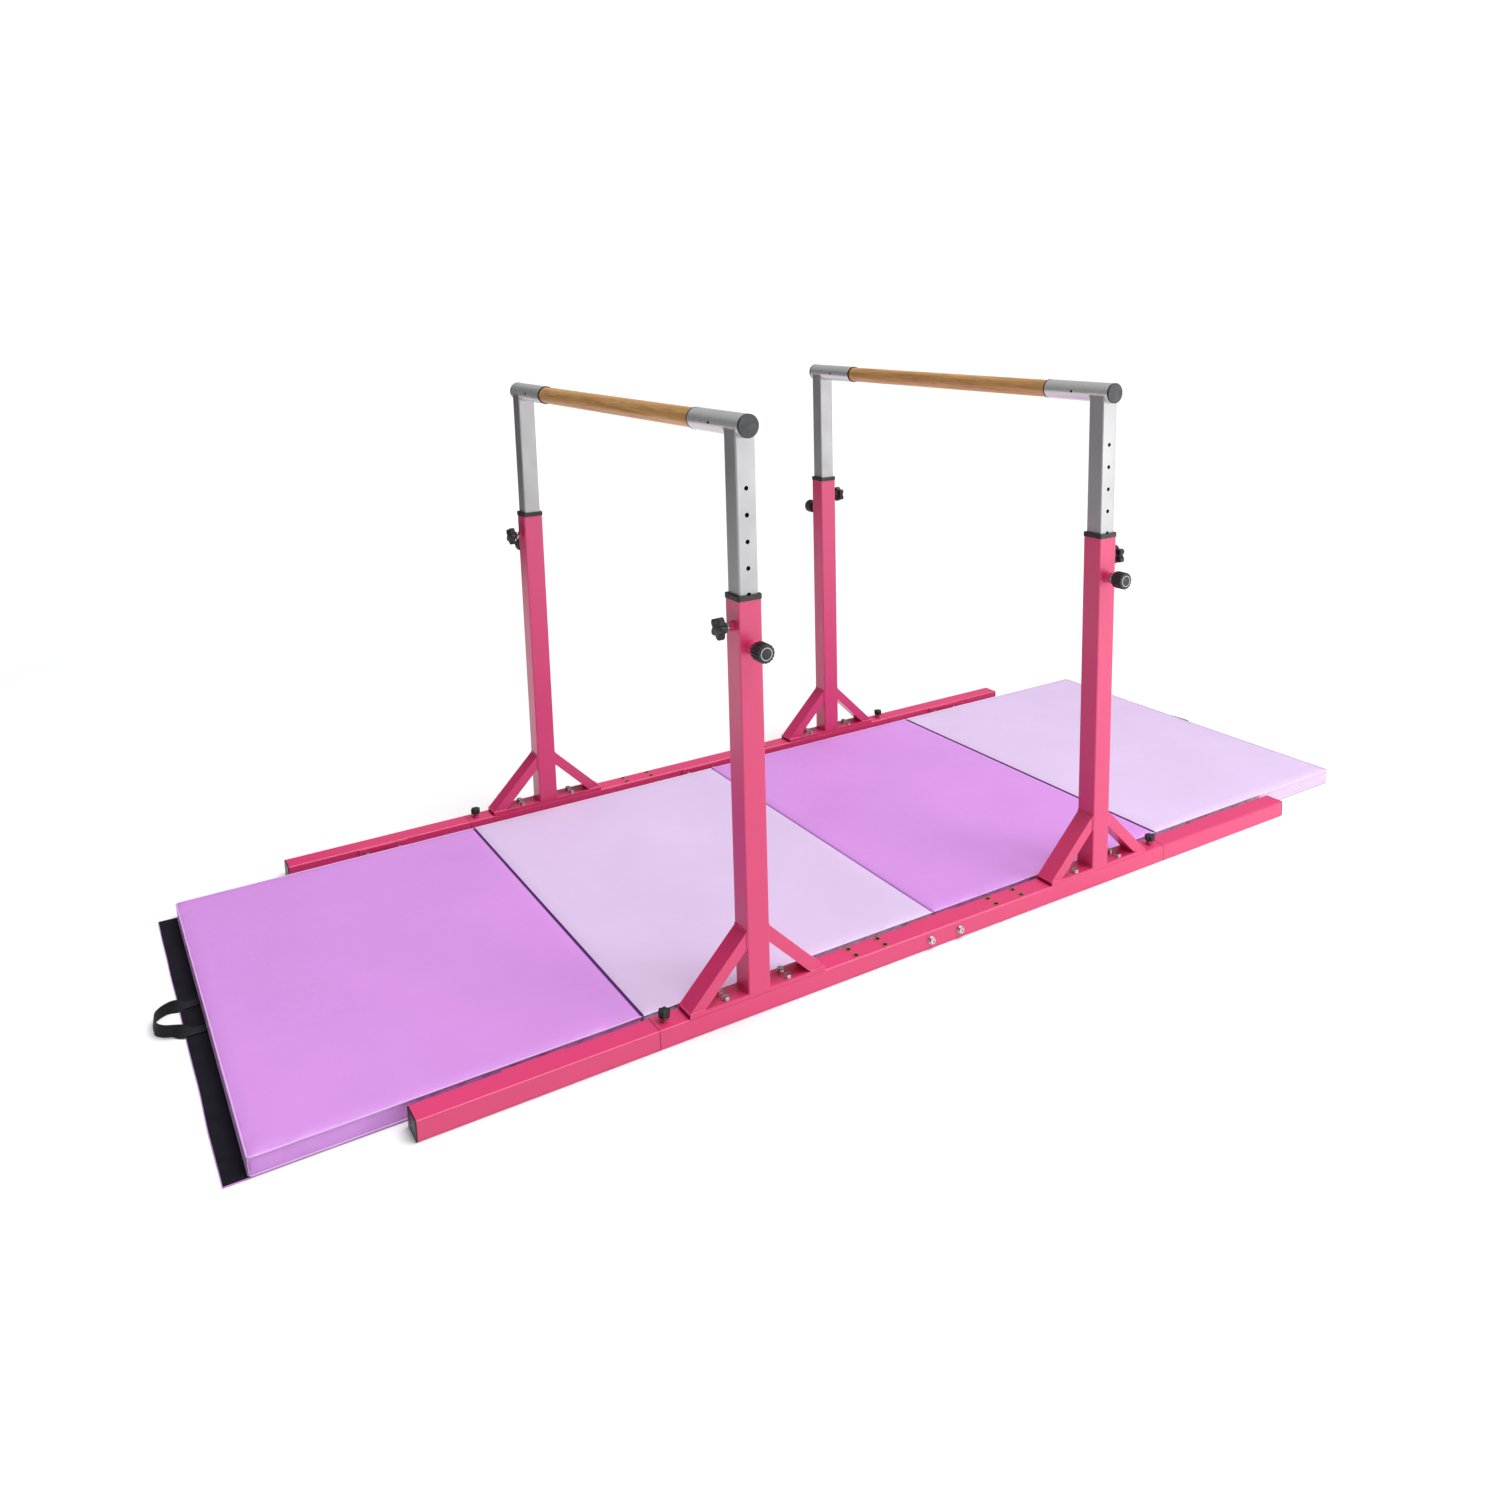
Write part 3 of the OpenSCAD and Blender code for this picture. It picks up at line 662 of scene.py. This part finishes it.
def rail_gap_shade_band(a, b):
    """A thin dark band round the end of the main rail, where an extension leaves it: painted shade
    standing for the shadow in the open butt joint.
    """
    low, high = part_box(f"main_rail_{b}")
    x = low.x if SIDES[a] < 0 else high.x
    r = BAND_CORNER_R
    y0, y1, z0, z1 = low.y - BAND_PROUD, high.y + BAND_PROUD, 0.0, RAIL_H + BAND_PROUD
    outline = []
    for cy, cz, start in ((y1 - r, z0 + r, -90), (y1 - r, z1 - r, 0),
                          (y0 + r, z1 - r, 90), (y0 + r, z0 + r, 180)):
        for step in range(BAND_CORNER_STEPS + 1):
            t = math.radians(start + 90 / BAND_CORNER_STEPS * step)
            outline.append((cy + r * math.cos(t), cz + r * math.sin(t)))
    mid_y, mid_z = (y0 + y1) / 2, (z0 + z1) / 2
    bm = bmesh.new()
    loops = []
    for dx, scale in ((-BAND_HALF, 1.0), (BAND_HALF, 1.0),
                      (BAND_HALF, BAND_SINK), (-BAND_HALF, BAND_SINK)):
        loops.append([bm.verts.new((x + dx, mid_y + (y - mid_y) * scale,
                                    mid_z + (z - mid_z) * scale)) for y, z in outline])
    count = len(outline)
    for here, after in zip(loops, loops[1:] + loops[:1]):
        for i in range(count):
            j = (i + 1) % count
            bm.faces.new((here[i], here[j], after[j], after[i]))
    # The band's black plastic is painted shade: it stands for the shadow in the open joint, not for
    # a real part.
    piece(f"rail_gap_shade_band_{a}_{b}", bm, "floor_frame",
          [MATERIALS["black_plastic"]])


for a, b in CORNERS:
    rail_gap_shade_band(a, b)


# --- Weld beads ---

BRACE_RISE = 130 * MM
BRACE_THICK = 25 * MM
BRACE_HALF = 22 * MM
BEAD_R = 2.1 * MM
BEAD_STEP = 1.6 * MM
BEAD_WOBBLE = 0.35
BEAD_SMOOTH = 80
SLEEVE_BEAD_R = 1.4 * MM
TOE_TRIM = 1 * MM


def weld_beads(a, b):
    """Beads where the post and its braces meet the base plate and each other."""
    low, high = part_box(f"post_tube_{a}_{b}")
    centre = (low + high) / 2
    half = (high.x - low.x) / 2
    top = low.z
    foot_out = half + BRACE_RISE
    foot_in = foot_out - BRACE_THICK * math.sqrt(2)
    bm = bmesh.new()

    def bead(*ends):
        start, end = (Vector((centre.x + x, centre.y + y, z)) for x, y, z in ends)
        line = end - start
        count = max(4, round(line.length / BEAD_STEP))
        points = [start + line * i / count for i in range(count + 1)]
        tube(bm, points, BEAD_R, BEAD_WOBBLE)

    brace_top = top + BRACE_RISE
    brace_low = top + BRACE_RISE - (foot_out - foot_in)
    for side in (-1, 1):
        across = [(side * half, top, half - 2 * MM),
                  (side * foot_out - side * TOE_TRIM, top, BRACE_HALF),
                  (side * foot_in, top, BRACE_HALF),
                  (side * half, brace_top, BRACE_HALF),
                  (side * half, brace_low, BRACE_HALF)]
        for x, z, reach in across:
            bead((x, -reach, z), (x, reach, z))
        for y in (-BRACE_HALF, BRACE_HALF):
            bead((side * foot_in, y, top), (side * (foot_out - TOE_TRIM), y, top))
            bead((side * half, y, brace_low), (side * half, y, brace_top))
    piece(f"weld_beads_{a}_{b}", bm, "floor_frame", [MATERIALS["pink_paint"]],
          BEAD_SMOOTH)


def sleeve_weld(a, b):
    """The bead that joins a bar's sleeve to the top of its upright."""
    low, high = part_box(f"upright_{a}_{b}")
    sleeve_low, sleeve_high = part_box(f"bar_sleeves_{a}")
    centre = (low + high) / 2
    half = (high.x - low.x) / 2
    radius = (sleeve_high.z - sleeve_low.z) / 2
    axis_z = (sleeve_high.z + sleeve_low.z) / 2
    bm = bmesh.new()

    def height(x):
        return axis_z - math.sqrt(max(radius ** 2 - x ** 2, 0))

    for side in (-1, 1):
        xs = [half * (i / 10 - 1) for i in range(21)]
        for points in ([(x, side * half, height(x)) for x in xs],
                       [(side * half, x, height(half)) for x in xs]):
            tube(bm, [Vector((centre.x + x, centre.y + y, z)) for x, y, z in points],
                 SLEEVE_BEAD_R, BEAD_WOBBLE)
    piece(f"sleeve_weld_{a}_{b}", bm, f"{a}_bar", [MATERIALS["silver_paint"]],
          BEAD_SMOOTH)


for a, b in CORNERS:
    weld_beads(a, b)
    sleeve_weld(a, b)


# --- Mat ---

FREE_END = {1: -1, 4: 1}  # which way a panel's free end faces along X
GRID = 12 * MM
EDGE_R = 5 * MM
END_INSET = 3 * MM
SIDE_GAP, FOLD_GAP, FLOOR_GAP, TOP_GAP = 1.5 * MM, 0.3 * MM, 0.2 * MM, 1.2 * MM
CROWN = 0.2 * MM
CLOTH_FRAMES = 20
PUFF_PRESSURE = 3.0
PUFF_CAP = 2.2 * MM
SEWN_REACH, SEWN_HEIGHT = 4 * MM, 6 * MM
TOP_DRIFT, TOP_DRIFT_FADE = 0.7 * MM, 60 * MM
END_DRIFT, END_DRIFT_REACH, END_DRIFT_FROM = 1.1 * MM, 3 * MM, 4 * MM
RELIEF_H, RELIEF_REACH, RELIEF_CLEAR = 7.2 * MM, 3 * MM, 38 * MM
SEAM_R, CORNER_SEAM_R = 1.7 * MM, 1.2 * MM
SEAM_STEP = 12 * MM
SEAM_WAVE = 0.4 * MM
COVER_SMOOTH, SEAM_SMOOTH, WEBBING_SMOOTH = 50, 60, 50


def slab_lines(a, b, r, step):
    """Grid lines across a slab, closer together over its rounded edges."""
    edge = [0, 0.35 * r, r]
    inner = between(a + r, b - r, step)
    return sorted({round(v, 6) for v in [a + e for e in edge] + inner + [b - e for e in edge]})


def rounded_slab(bm, low, high, r, step):
    """A closed box with rounded edges, gridded finely enough to bend."""
    lines = [slab_lines(low[k], high[k], r, step) for k in range(3)]
    last = [len(line) - 1 for line in lines]
    made = {}

    def vert(*ijk):
        if ijk not in made:
            p = Vector(lines[k][ijk[k]] for k in range(3))
            core = Vector(min(max(p[k], low[k] + r), high[k] - r) for k in range(3))
            out = p - core
            made[ijk] = bm.verts.new(core + out.normalized() * r if out.length else p)
        return made[ijk]

    for k in range(3):
        u, v = (k + 1) % 3, (k + 2) % 3
        for side in (0, last[k]):
            for i in range(last[u]):
                for j in range(last[v]):
                    quad = []
                    for du, dv in ((0, 0), (1, 0), (1, 1), (0, 1)):
                        ijk = [0, 0, 0]
                        ijk[k], ijk[u], ijk[v] = side, i + du, j + dv
                        quad.append(vert(*ijk))
                    bm.faces.new(quad)


def ease(d, width):
    """0 at an edge, rising smoothly to 1 at width away from it."""
    t = min(max(d / width, 0), 1)
    return t * t * (3 - 2 * t)


def puff(obj, pinned):
    """Inflates a sewn cover by cloth simulation, holding the pinned vertices, and applies it."""
    mesh = obj.data
    rest = [v.co.copy() for v in mesh.vertices]
    group = obj.vertex_groups.new(name="sewn")
    group.add([v.index for v in mesh.vertices if pinned(v.co)], 1.0, "REPLACE")
    cloth = obj.modifiers.new("cloth", "CLOTH")
    cloth.settings.quality = 4
    cloth.settings.mass = 0.4
    cloth.settings.tension_stiffness = 18
    cloth.settings.compression_stiffness = 18
    cloth.settings.bending_stiffness = 0.6
    cloth.settings.use_pressure = True
    cloth.settings.uniform_pressure_force = PUFF_PRESSURE
    cloth.settings.shrink_min = -0.006
    cloth.settings.effector_weights.gravity = 0
    cloth.settings.vertex_group_mass = "sewn"
    cloth.point_cache.frame_start = 1
    cloth.point_cache.frame_end = CLOTH_FRAMES
    for frame_number in range(1, CLOTH_FRAMES + 1):
        bpy.context.scene.frame_set(frame_number)
    graph = bpy.context.evaluated_depsgraph_get()
    moved = [v.co.copy() for v in obj.evaluated_get(graph).data.vertices]
    obj.modifiers.remove(cloth)
    bpy.context.scene.frame_set(1)
    for v, a, b in zip(mesh.vertices, rest, moved):
        step = b - a
        v.co = a + step.normalized() * min(step.length, PUFF_CAP) if step.length > 1e-9 else a
    obj.vertex_groups.clear()


def mat_panel(index):
    """A panel's vinyl cover: puffed by the simulation, then kept within reach of the CAD panel."""
    node = f"mat_panel_{index}"
    slot = SLOT_OF[node]
    low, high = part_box(node)
    outer = FREE_END.get(index, 0)
    base = Vector((low.x + FOLD_GAP, low.y + SIDE_GAP, low.z + FLOOR_GAP))
    top = Vector((high.x - FOLD_GAP, high.y - SIDE_GAP, high.z - TOP_GAP))
    if outer < 0:
        base.x += END_INSET
    elif outer > 0:
        top.x -= END_INSET
    bm = bmesh.new()
    rounded_slab(bm, base, top, EDGE_R, GRID)
    obj = piece(f"mat_cover_{index}", bm, None, [MATERIALS[slot]], COVER_SMOOTH)
    mid = (base.z + top.z) / 2

    def sewn(p):
        at_fold = min(abs(p.x - base.x), abs(p.x - top.x)) < SEWN_REACH
        at_side = min(abs(p.y - base.y), abs(p.y - top.y)) < SEWN_REACH
        at_rim = top.z - p.z < SEWN_REACH and (at_side or at_fold)
        return p.z < base.z + SEWN_HEIGHT or at_rim or (at_fold and not outer)

    puff(obj, sewn)
    end_x = base.x if outer < 0 else top.x
    for v in obj.data.vertices:
        p = v.co
        from_rim = min(p.x - base.x, top.x - p.x, p.y - base.y, top.y - p.y)
        drift = noise.fractal(Vector((p.x * 5, p.y * 5, index * 7.3)), 0.7, 2.1, 3)
        if p.z > mid:
            p.z += TOP_DRIFT * drift * ease(from_rim, TOP_DRIFT_FADE)
        at_end = outer and abs(p.x - end_x) < END_DRIFT_REACH
        if at_end and p.z > base.z + END_DRIFT_FROM:
            p.x += END_DRIFT * noise.fractal(Vector((p.y * 22, p.z * 30, index)), 0.8, 2.0, 3)
        for beam_x, half in BEAMS:
            if abs(p.x - beam_x) < half and p.z < base.z + RELIEF_REACH:
                p.z = low.z + RELIEF_H
    peak = max(v.co.z for v in obj.data.vertices)
    flatten = min(1.0, (high.z + CROWN - mid) / (peak - mid))
    for v in obj.data.vertices:
        if v.co.z > mid:
            v.co.z = mid + (v.co.z - mid) * flatten
    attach(obj, BODY_OF[node])
    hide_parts(node)
    add_piping(index, slot, base, top, outer)


def add_piping(index, slot, base, top, outer):
    """Sewn edges round the panel's open sides, top and bottom, and up its free corners, in a
    lighter vinyl that paints a highlight on them.
    """
    bm = bmesh.new()
    x0, x1 = base.x + EDGE_R, top.x - EDGE_R
    turn = 4 * MM

    def loop(z, grow):
        y0, y1 = base.y - grow, top.y + grow
        start = base.x - grow if outer < 0 else x0 - EDGE_R + 1 * MM
        stop = top.x + grow if outer > 0 else x1 + EDGE_R - 1 * MM
        pts = []

        def wave(x, y):
            return z + SEAM_WAVE * noise.noise(Vector((x * 16, y * 16, index + z * 50)))

        def run(xa, ya, xb, yb):
            count = max(2, round(math.hypot(xb - xa, yb - ya) / SEAM_STEP))
            for i in range(count + 1):
                t = i / count
                x, y = xa + (xb - xa) * t, ya + (yb - ya) * t
                pts.append(Vector((x, y, wave(x, y))))

        if outer < 0:
            run(stop, y0, start + turn, y0)
            run(start, y0 + turn, start, y1 - turn)
            run(start + turn, y1, stop, y1)
            return [pts]
        if outer > 0:
            run(start, y0, stop - turn, y0)
            run(stop, y0 + turn, stop, y1 - turn)
            run(stop - turn, y1, start, y1)
            return [pts]
        run(start, y0, stop, y0)
        first, pts = pts, []
        run(start, y1, stop, y1)
        return [first, pts]

    for path in loop(top.z - 2.2 * MM, 0.3 * MM) + loop(base.z + 3.5 * MM, 0.2 * MM):
        tube(bm, path, SEAM_R)
    if outer:
        x = base.x if outer < 0 else top.x
        for y in (base.y, top.y):
            inward = 1 if y < 0 else -1
            ups = []
            for t in (i / 8 for i in range(9)):
                inset = (1.5 - 1.2 * math.sin(math.pi * t)) * MM
                ups.append(Vector((x - outer * inset, y + inward * 2.5 * MM,
                                   base.z + 4 * MM + (top.z - base.z - 7 * MM) * t)))
            tube(bm, ups, CORNER_SEAM_R)
    piece(f"mat_piping_{index}", bm, BODY_OF[f"mat_panel_{index}"], [PIPING_HIGHLIGHT[slot]],
          SEAM_SMOOTH)


def beam_reliefs():
    """Centre and half width of the clear strips over the cross-beams. The end ones slide out."""
    slide = JOINTS["left_end_slide"]["range_m"][1]
    reliefs = [(0.0, RELIEF_CLEAR)]
    for a, sx in SIDES.items():
        low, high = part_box(f"end_cross_beam_{a}")
        middle = (low.x + high.x) / 2
        reliefs.append((middle + sx * slide / 2, RELIEF_CLEAR + slide / 2))
    return reliefs


BEAMS = beam_reliefs()
for index in (1, 2, 3, 4):
    mat_panel(index)

WEB_HALF = 3.2 * MM
WEB_THICK = 0.9 * MM
WEB_END_GAP = 4 * MM
WEB_STEP = 30 * MM
WEB_TOP, WEB_SAG = 2.6 * MM, 3.4 * MM


def fold_web(a, panel_out):
    """The strip of cover that hinges a leaf to the middle of the mat, coloured far darker than the
    cover: painted shade in the fold's crease.
    """
    x = JOINTS[f"mat_{a}_fold"]["pos_m"][0]
    low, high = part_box(f"mat_panel_{panel_out}")
    bm = bmesh.new()
    y_stop = high.y - WEB_END_GAP
    ys = between(low.y + WEB_END_GAP, y_stop, WEB_STEP) + [y_stop]
    ts = [i / 8 for i in range(9)]
    rows = []
    for y in ys:
        outer = [bm.verts.new((x + WEB_HALF * (2 * t - 1), y,
                               high.z - WEB_TOP - WEB_SAG * math.sin(math.pi * t))) for t in ts]
        inner = [bm.verts.new((v.co.x, y, v.co.z - WEB_THICK)) for v in outer]
        rows.append(outer + inner[::-1])
    skin(bm, rows)
    obj = piece(f"mat_fold_web_{a}", bm, None, [FOLD_WEB_SHADE], SEAM_SMOOTH)
    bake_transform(obj)


fold_web("left", 1)
fold_web("right", 4)

STRAP_OUTLINE = ((-1, -1), (-0.85, -1.15), (0.85, -1.15), (1, -1),
                 (1, 1), (0.85, 1.15), (-0.85, 1.15), (-1, 1))
OUTLINE_RISE = 1.15
HANDLE_W, HANDLE_T = 25 * MM, 1.6 * MM
HANDLE_STEPS = 60


def ribbon(bm, path, across, width, thick):
    """Sweeps a flat strap along path. across(i) gives the direction of its width at point i."""
    rows = []
    count = len(path)
    for i, p in enumerate(path):
        along = (path[min(i + 1, count - 1)] - path[max(i - 1, 0)]).normalized()
        wide = across(i)
        wide = (wide - along * wide.dot(along)).normalized()
        flat = along.cross(wide)
        corners = []
        for u, v in STRAP_OUTLINE:
            offset = flat * (v * thick / (2 * OUTLINE_RISE))
            corners.append(bm.verts.new(p + wide * (u * width / 2) + offset))
        rows.append(corners)
    skin(bm, rows)


def mat_handle(a):
    """Webbing loop: it lies flat where it is sewn on, then turns on edge and bows outward."""
    node = f"mat_handle_{a}"
    sx = SIDES[a]
    low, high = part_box(node)
    root = high.x if sx < 0 else low.x
    reach = (high.x - low.x) - 2 * MM
    mid_y = (low.y + high.y) / 2
    half = (high.y - low.y) / 2 - 2 * MM
    flat_run = 0.40 if sx < 0 else 0.12
    stand_z = low.z + HANDLE_W / 2 - 1.5 * MM
    path, lean = [], []
    for i in range(HANDLE_STEPS + 1):
        turn = math.pi * (i / HANDLE_STEPS)
        out = reach * min(1.0, 1.02 * math.sin(turn) ** 0.62)
        y = mid_y - half * math.copysign(abs(math.cos(turn)) ** 0.8, math.cos(turn))
        stand = ease(out - reach * flat_run * 0.55, reach * 0.5)
        z = low.z + HANDLE_T / 2 + (stand_z - low.z - HANDLE_T / 2) * stand
        sag = -1.5 * MM * math.sin(turn) + 1.2 * MM * math.sin(2 * turn)
        path.append(Vector((root + sx * out, y, z + sag * stand + 0.3 * MM)))
        lean.append(stand)

    def across(i):
        near_root = abs(path[i].x - root) < reach * 0.9
        flat_dir = Vector((0, 1, 0)) if near_root else Vector((sx, 0, 0))
        return flat_dir * (1 - lean[i]) + Vector((-0.18 * sx, 0, 1)) * lean[i]

    bm = bmesh.new()
    ribbon(bm, path, across, HANDLE_W, HANDLE_T)
    obj = piece(f"webbing_handle_{a}", bm, BODY_OF[node], [MATERIALS["webbing"]],
                WEBBING_SMOOTH, [node])
    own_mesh(obj)


mat_handle("left")
mat_handle("right")

FLAP_STEPS_X, FLAP_STEPS_Y = 6, 80
FLAP_TUCK = 2 * END_INSET
FLAP_CURL, FLAP_EDGE = 1.3 * MM, 1.6 * MM


def mat_flap():
    """Black hook tape on a tongue of the cover's vinyl, lying on the floor along the left end."""
    low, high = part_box("mat_flap")
    high.x += FLAP_TUCK
    width, length = high.x - low.x, high.y - low.y

    def sheet_mesh(bm, x_out, z_base, thick, y_trim):
        grid = {}
        for side, dz in ((0, 0.0), (1, thick)):
            for i in range(FLAP_STEPS_X + 1):
                for j in range(FLAP_STEPS_Y + 1):
                    s, t = i / FLAP_STEPS_X, j / FLAP_STEPS_Y
                    y = low.y + y_trim + (length - 2 * y_trim) * t
                    edge = FLAP_EDGE * noise.noise(Vector((y * 7, 3.1, 0))) * s
                    x = high.x - (width - x_out) * s + edge
                    curl = FLAP_CURL * s * (0.5 + 0.5 * noise.noise(Vector((y * 9, s, 4.2))))
                    grid[side, i, j] = bm.verts.new((x, y, z_base + curl + dz))

        def quad(*keys):
            bm.faces.new([grid[k] for k in keys])

        for i in range(FLAP_STEPS_X):
            for j in range(FLAP_STEPS_Y):
                for side in (0, 1):
                    quad((side, i, j), (side, i + 1, j), (side, i + 1, j + 1), (side, i, j + 1))
        for i in range(FLAP_STEPS_X):
            for j in (0, FLAP_STEPS_Y):
                quad((0, i, j), (0, i + 1, j), (1, i + 1, j), (1, i, j))
        for j in range(FLAP_STEPS_Y):
            for i in (0, FLAP_STEPS_X):
                quad((0, i, j), (0, i, j + 1), (1, i, j + 1), (1, i, j))

    bm = bmesh.new()
    sheet_mesh(bm, 0.0, low.z - 0.4 * MM, 0.8 * MM, 0.0)
    tongue = piece("mat_flap_tongue", bm, "mat_left_leaf",
                   [MATERIALS["mat_purple"]], SEAM_SMOOTH)
    bm = bmesh.new()
    sheet_mesh(bm, 1.2 * MM, low.z + 0.45 * MM, 1.3 * MM, 2.0 * MM)
    tape = piece("mat_flap_tape", bm, "mat_left_leaf",
                 [MATERIALS["hook_tape"]], SEAM_SMOOTH, ["mat_flap"])
    for obj in (tongue, tape):
        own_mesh(obj)


mat_flap()


# --- Floor and dark panel ---

FLOOR_SIZE = 40
FLOOR_GREYS = ((0.89, 0.89, 0.895), (0.91, 0.91, 0.91))
FLAG_CORNERS = ((-3.5, 1.26, 0.12), (-0.5, 3.54, 0.12), (-0.5, 3.54, 2.4), (-3.5, 1.26, 2.4))
FLAG_GREYS = ((0.01, 0.01, 0.01), (0.03, 0.03, 0.03))


def make_floor():
    bm = bmesh.new()
    bmesh.ops.create_grid(bm, x_segments=1, y_segments=1, size=FLOOR_SIZE)
    mesh = bpy.data.meshes.new("floor")
    bm.to_mesh(mesh)
    bm.free()
    s = Shader("pale_floor", Roughness=0.9, Specular_IOR_Level=0.1)
    s.color(s.mix(s.noise(2, 3), *FLOOR_GREYS))
    mesh.materials.append(s.material)
    floor = bpy.data.objects.new("floor", mesh)
    floor.location.z = cad_box[0].z - FLOOR_GAP
    bpy.context.collection.objects.link(floor)


def make_flag():
    """A dark studio panel behind and to the left, for the left faces of the steel to reflect."""
    bm = bmesh.new()
    bm.faces.new([bm.verts.new(c) for c in FLAG_CORNERS])
    mesh = bpy.data.meshes.new("dark_flag")
    bm.to_mesh(mesh)
    bm.free()
    s = Shader("black_cloth", Roughness=0.9)
    s.color(s.mix(s.noise(40, 2), *FLAG_GREYS))
    mesh.materials.append(s.material)
    flag = bpy.data.objects.new("dark_flag", mesh)
    flag.visible_camera = False
    flag.visible_shadow = False
    bpy.context.collection.objects.link(flag)


make_floor()
make_flag()
